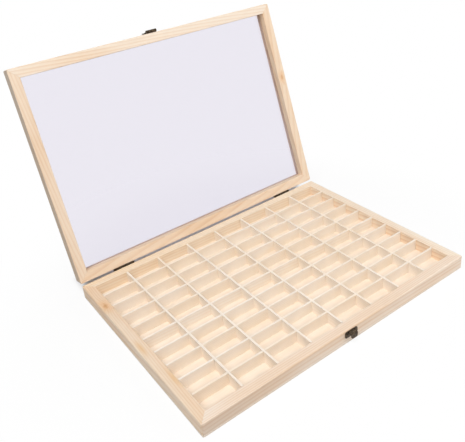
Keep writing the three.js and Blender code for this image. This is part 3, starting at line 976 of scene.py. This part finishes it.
tray_leaf, _ = hinge_leaf("tray_leaf", "hinge_left_tray_leaf", (0, 2, 4), -1)
lid_leaf, lid_spans = hinge_leaf("lid_leaf", "hinge_left_lid_leaf", (1, 3), 1)
add_spurs(lid_leaf, lid_spans)
for leaf, words, body in ((tray_leaf, "tray", "tray"), (lid_leaf, "lid", "lid")):
    join_or_cut(leaf, pilot_rods(screws_of("hinge_left", words + "_screw")), "DIFFERENCE")
    ease_edges(leaf, stamped_ease)
    other = twin(leaf, leaf.name + "_right")
    node = "_".join(("hinge", "{}", words, "leaf"))
    move_mesh(other, (middle_of(node.format("right")).x - middle_of(node.format("left")).x, 0, 0))
    fit_piece(leaf, node.format("left"), body)
    fit_piece(other, node.format("right"), body)
    print(words, "leaf faces:", len(leaf.data.polygons))

# %% [markdown]
# The pins are plain wire. A hinge pin is upset at both ends into a low round head, and the
# hasp's shorter pin is only rounded off.

# %% Pins
def wire(name, node, radius, length, segments=28):
    """A rod along X in the middle of a node."""
    put_down()
    bpy.ops.mesh.primitive_cylinder_add(vertices=segments, radius=radius, depth=length,
                                        location=middle_of(node), rotation=(0, math.pi / 2, 0))
    rod = bpy.context.object
    rod.name = rod.data.name = name
    settle()
    return rod


def pick_rim(rod, x):
    return pick_edges(rod, lambda a, b: near(a.x, x) and near(b.x, x))


pin_radius = 0.6 * mm
pin_head_radius = 1.3 * mm
pin_head_length = 0.8 * mm
pin_head_round, wire_round = 0.5 * mm, 0.25 * mm
for side in ("left", "right"):
    node = "hinge_" + side + "_pin"
    low, high = drawn_box(node)
    pin = wire("pin_" + side, node, pin_radius, high.x - low.x - 2 * pin_head_length)
    for end, way in ((low.x, -1), (high.x, 1)):
        neck = end - way * pin_head_length
        pick_faces(pin, lambda centre, normal: near(centre.x, neck) and abs(normal.x) > 0.9)
        bpy.ops.mesh.extrude_region_move()
        grow = pin_head_radius / pin_radius
        bpy.ops.transform.resize(value=(1, grow, grow), center_override=middle_of(node))
        pull(x=way * pin_head_length)
        pick_rim(pin, end)
        round_edges(pin_head_round, 4)
    fit_piece(pin, node, "tray")

low, high = drawn_box("hasp_pin")
hasp_pin_radius = (high.z - low.z) / 2
hasp_wire = wire("hasp_wire", "hasp_pin", hasp_pin_radius, high.x - low.x, 24)
for x in (low.x, high.x):
    pick_rim(hasp_wire, x)
    round_edges(wire_round, 3)
fit_piece(hasp_wire, "hasp_pin", "lid")

# %% [markdown]
# The catch is a plate with round corners, wide enough for a screw on each side of its bill.
# The bill is bent out of the plate's upper part and down: two extrusions with a spin for
# the bend.

# %% Catch
bill_sheet = 1.2 * mm
bend_radius = 2.5 * mm
bill_half = 5.5 * mm
bill_drop = 1.0 * mm
bill_length = 8.5 * mm
bill_corner = 3.2 * mm
catch_low, catch_high = drawn_box("catch_hook")
catch_face = catch_high.y - sheet
bill_top = catch_high.z - bill_drop

catch = block("catch", (catch_low.x, catch_face, catch_low.z), catch_high)
ends = (catch_low.z, catch_high.z)
cut_corners(catch, lambda a: any(near(a.z, end) for end in ends), plate_corner, 6)
for x in (-bill_half, bill_half):
    cut_line(catch, (x, 0, 0), (1, 0, 0))
for z in (bill_top, bill_top - bill_sheet):
    cut_line(catch, (0, 0, z), (0, 0, 1))
print("bill faces:", pick_faces(catch, lambda centre, normal: normal.y < -0.9 and abs(centre.x) < bill_half
                                and bill_top - bill_sheet < centre.z < bill_top))
pull(y=catch_low.y + bend_radius - catch_face)
roll((0, catch_low.y + bend_radius, bill_top - bend_radius), math.radians(-90), 6)
pull(z=bend_radius - bill_length)
tip = bill_top - bill_length
cut_corners(catch, lambda a: near(a.z, tip), bill_corner, 6)
join_or_cut(catch, pilot_rods(screws_of("catch")), "DIFFERENCE")
ease_edges(catch, stamped_ease)
fit_piece(catch, "catch_hook", "tray")

# %% [markdown]
# The hasp's plate hangs its tongue from two outer knuckles. They are rolled like the
# hinges' knuckles, only thicker, since a hand pulls at them.

# %% Hasp plate
knuckle_bore = hasp_pin_radius + play
hasp_low, hasp_high = drawn_box("hasp_plate")
hasp_axis = middle_of("hasp_pin")
barrel_radius = hasp_axis.z - hasp_low.z
hasp_foot = hasp_axis.z + barrel_radius + play
middle_half, outer_knuckle = 5.5 * mm, 3.0 * mm
foot_corner, tab_step = 1.5 * mm, 1.2 * mm
hasp_spans = [(middle_half + play, middle_half + play + outer_knuckle)]
hasp_spans.append((-hasp_spans[0][1], -hasp_spans[0][0]))

hasp = block("hasp", (hasp_low.x, hasp_high.y - sheet, hasp_foot), hasp_high)
cut_corners(hasp, lambda a: near(a.z, hasp_high.z), plate_corner, 6)
cut_corners(hasp, lambda a: near(a.z, hasp_foot), foot_corner)
for span in hasp_spans:
    for x in span:
        cut_line(hasp, (x, 0, 0), (1, 0, 0))
print("hasp tabs:", pick_faces(hasp, lambda centre, normal: near(centre.z, hasp_foot)
                               and any(a < centre.x < b for a, b in hasp_spans)))
pull(z=hasp_axis.z + tab_step - hasp_foot)
pull(z=-tab_step)
thinner = (barrel_radius - knuckle_bore) / sheet
bpy.ops.transform.resize(value=(1, thinner, 1), center_override=(0, hasp_high.y, hasp_axis.z))
bpy.ops.transform.translate(value=(0, hasp_axis.y + barrel_radius - hasp_high.y, 0))
roll(hasp_axis, rolled_turn)
join_or_cut(hasp, pilot_rods(screws_of("hasp")), "DIFFERENCE")
ease_edges(hasp, strap_ease)
fit_piece(hasp, "hasp_plate", "lid")

# %% [markdown]
# The tongue is a strap that bows away from the box, so that a finger can get behind it. Its
# blank is drawn down section by section along the bow. The slot that drops over the bill is
# punched out last, and the tip is cut round.

# %% Hasp tongue
strap = 1.0 * mm
strap_bow, strap_tip_out = 0.6 * mm, 1.0 * mm
strap_sections = 12
strap_corner, slot_corner = 4.0 * mm, 1.5 * mm
slot_room = 1.0 * mm
slot_top, slot_foot = bill_top + slot_room, tip - slot_room
slot_half = bill_half + slot_room
tongue_low, tongue_high = drawn_box("hasp_tongue")
shoulder = hasp_axis.z - barrel_radius - play


def strap_middle(height):
    """How far forward the strap's middle lies at a height."""
    share = (hasp_axis.z - height) / (hasp_axis.z - tongue_low.z)
    return hasp_axis.y - strap_bow * 4 * share * (1 - share) - strap_tip_out * share


heights = [shoulder + (tongue_low.z - shoulder) * i / strap_sections for i in range(strap_sections + 1)]
start, first = strap_middle(heights[0]), strap_middle(heights[1])
strap_back = start - strap / 2
tongue = block("tongue", (tongue_low.x, strap_back, heights[1]),
               (tongue_high.x, strap_back + strap, shoulder))
pick_faces(tongue, lambda centre, normal: normal.z < -0.9)
bpy.ops.transform.translate(value=(0, first - start, 0))
for before, height in zip(heights[1:], heights[2:]):
    pull(y=strap_middle(height) - strap_middle(before), z=height - before)
cut_corners(tongue, lambda a: near(a.z, tongue_low.z), strap_corner, 8)
for x in (-middle_half, middle_half):
    cut_line(tongue, (x, 0, 0), (1, 0, 0))
print("tongue tab:", pick_faces(tongue, lambda centre, normal: near(centre.z, shoulder)
                                and abs(centre.x) < middle_half))
pull(z=hasp_axis.z - shoulder)
thinner = (barrel_radius - knuckle_bore) / strap
bpy.ops.transform.resize(value=(1, thinner, 1), center_override=(0, strap_back, 0))
bpy.ops.transform.translate(value=(0, hasp_axis.y - barrel_radius - strap_back, 0))
roll(hasp_axis, rolled_turn)
slot = block("slot", (-slot_half, start - 4 * mm, slot_foot), (slot_half, start + 4 * mm, slot_top))
cut_corners(slot, lambda a: True, slot_corner, 5)
join_or_cut(tongue, slot, "DIFFERENCE")
ease_edges(tongue, strap_ease)
fit_piece(tongue, "hasp_tongue", "tongue")

# %% [markdown]
# All twelve screws are alike: a low round head with a cross recess, and a shank with a
# shallow thread that ends in a point. One is modelled, looking along +Y. A smooth rod would
# do for the shank, which is buried, but the thread costs only a few rings.

# %% Screw model
head_radius, head_height = 1.9 * mm, 0.6 * mm
core_radius, thread_radius = 0.62 * mm, 0.8 * mm
thread_pitch, thread_turns = 0.4 * mm, 9
point_radius = 0.05 * mm
recess_half, recess_reach, recess_floor = 0.22 * mm, 0.95 * mm, 0.2 * mm
screw_low, screw_high = drawn_box(screw_names[0])
shank_length = screw_high.y - screw_low.y - head_height

put_down()
bpy.ops.mesh.primitive_cylinder_add(vertices=24, radius=head_radius, depth=head_height,
                                    location=(0, head_height / 2, 0), rotation=(math.pi / 2, 0, 0))
screw = bpy.context.object
screw.name = screw.data.name = "screw"
settle()
pick_edges(screw, lambda a, b: near(a.y, head_height) and near(b.y, head_height))
bpy.ops.mesh.bevel(offset=0.9 * head_height, segments=4, profile=0.6, affect="EDGES")
pick_faces(screw, lambda centre, normal: near(centre.y, 0) and normal.y < -0.9)
radius, depth = head_radius, 0.0


def shank_ring(new_radius, step):
    """Extrudes the shank on to a ring with another radius."""
    global radius, depth
    pull(y=-step)
    depth += step
    grow = new_radius / radius
    bpy.ops.transform.resize(value=(grow, 1, grow), center_override=(0, -depth, 0))
    radius = new_radius


shank_ring(thread_radius, 0.0)
shank_ring(core_radius, thread_pitch / 2)
for _ in range(thread_turns):
    shank_ring(thread_radius, thread_pitch / 2)
    shank_ring(core_radius, thread_pitch / 2)
shank_ring(point_radius, shank_length - depth)
for half_x, half_z in ((recess_half, recess_reach), (recess_reach, recess_half)):
    blade = block("blade", (-half_x, recess_floor, -half_z), (half_x, 1.5 * head_height, half_z))
    join_or_cut(screw, blade, "DIFFERENCE")
print("screw faces:", len(screw.data.polygons))

# %% [markdown]
# The finished screw is copied to each place, with its head on the metal. The same copy
# everywhere would line up all the crosses, and nobody drives a dozen screws alike, so each
# is turned to an angle of its own.

# %% Drive the screws
for number, node in enumerate(screw_names):
    low, high = drawn_box(node)
    middle, facing = screw_place(node)
    seat = facing * (max(abs(low.y), abs(high.y)) - head_height)
    driven = twin(screw, "driven_" + node)
    turned = Matrix.Rotation(0 if facing > 0 else math.pi, 4, "Z") @ Matrix.Rotation(0.7 * number, 4, "Y")
    driven.matrix_world = Matrix.Translation((middle.x, seat, middle.z)) @ turned
    fit_piece(driven, node, "lid" if "hasp" in node or "lid" in node else "tray")
bpy.data.objects.remove(screw)

# %% [markdown]
# ## Floor and light
#
# The floor is plain and white, and keeps a soft shadow under the box. A white that is seen
# by the camera and in reflections comes from Light Path, so that no extra light has to
# fall on the wood. Seen by bouncing light the floor is a pale grey, because the real sides
# of the box are clearly darker than its top. The shadow shows in full only in the strip
# behind the tray, where the gap under the lid is dark, and fades to white further out.

# %% Floor
near_share = 0.14


def seen_directly(tree):
    """1 for the camera's rays and for what is mirrored or seen through the sheet, 0 for the rest."""
    path = tree.nodes.new("ShaderNodeLightPath")
    seen = maths(tree, "MAXIMUM", path.outputs["Is Camera Ray"], path.outputs["Is Glossy Ray"])
    return maths(tree, "MAXIMUM", seen, path.outputs["Is Transmission Ray"])


def depth_of_shadow(tree):
    """How much of its own shadow the floor shows: all in the strip behind the tray, less around it."""
    place = add(tree, "TexCoord", output=3)
    x, y, _ = axes(tree, place)
    away = add(tree, "VectorMath", {0: place}, 1, operation="LENGTH")
    around = fade(tree, away, outer_x, 2 * outer_x, near_share, 0.0)
    enter = fade(tree, y, outer_y - 4 * mm, outer_y + 2 * mm)
    leave = fade(tree, y, outer_y + 50 * mm, outer_y + 66 * mm, 1.0, 0.0)
    beside = fade(tree, maths(tree, "ABSOLUTE", x), outer_x - 20 * mm, outer_x + 4 * mm, 1.0, 0.0)
    behind = maths(tree, "MULTIPLY", maths(tree, "MULTIPLY", enter, leave), beside)
    return maths(tree, "MAXIMUM", around, behind)


def white_floor(name, bounce):
    made = bpy.data.materials.new(name)
    made.use_nodes = True
    tree = made.node_tree
    tree.nodes.clear()
    output = tree.nodes.new("ShaderNodeOutputMaterial")
    dull = add(tree, "BsdfDiffuse", {"Color": (bounce, bounce, bounce, 1)})
    glow = add(tree, "Emission", {"Color": (1, 1, 1, 1), "Strength": 1.0})
    lit = add(tree, "BsdfDiffuse", {"Color": (1, 1, 1, 1)})
    shown = add(tree, "MixShader", {0: depth_of_shadow(tree), 1: glow, 2: lit})
    mixed = add(tree, "MixShader", {0: seen_directly(tree), 1: dull, 2: shown})
    tree.links.new(mixed, output.inputs[0])
    return made


put_down()
floor_radius = 12.0
bpy.ops.mesh.primitive_circle_add(vertices=96, radius=floor_radius, fill_type="NGON",
                                  location=(0, 0, base_low.z))
floor = bpy.context.object
floor.name = "floor"
floor.data.materials.append(white_floor("white_floor", 0.7))

# %% [markdown]
# One big soft lamp hangs above the front left and does most of the work. A small one near
# the front right makes the front a little brighter towards the right, and a weak one stands
# behind. Lamps could be set by eye. These were fitted together to the brightness of the
# boards in the photograph, and what they don't explain went into the painted shade of the
# tints above.

# %% World and lamps
world = bpy.data.worlds.new("studio")
bpy.context.scene.world = world
world.use_nodes = True
sky = world.node_tree
sky.nodes.clear()
sky_output = sky.nodes.new("ShaderNodeOutputWorld")
sky_fill = add(sky, "Background", {"Color": (1.0, 0.99, 0.98, 1), "Strength": 0.05})
sky_white = add(sky, "Background", {"Color": (1, 1, 1, 1), "Strength": 1.0})
sky_mix = add(sky, "MixShader", {0: seen_directly(sky), 1: sky_fill, 2: sky_white})
sky.links.new(sky_mix, sky_output.inputs[0])


def soft_lamp(name, place, aim, size, power):
    """A square soft lamp that looks at a point. It would show as a square in the clear sheet,
    so it is hidden there."""
    data = bpy.data.lights.new(name, "AREA")
    data.size = size
    data.energy = power
    lamp = bpy.data.objects.new(name, data)
    bpy.context.scene.collection.objects.link(lamp)
    lamp.location = place
    lamp.rotation_euler = (Vector(aim) - Vector(place)).to_track_quat("-Z", "Y").to_euler()
    lamp.visible_glossy = False
    lamp.visible_transmission = False
    return lamp


lit_point = (0, 0, 0.03)
soft_lamp("key_lamp", (-0.89, -0.80, 2.08), lit_point, 2.1, 54)
soft_lamp("right_lamp", (0.77, -0.86, 0.61), lit_point, 1.0, 6.2)
soft_lamp("back_lamp", (1.09, 1.09, 1.84), lit_point, 1.7, 3)
bpy.context.scene.view_settings.view_transform = "Standard"
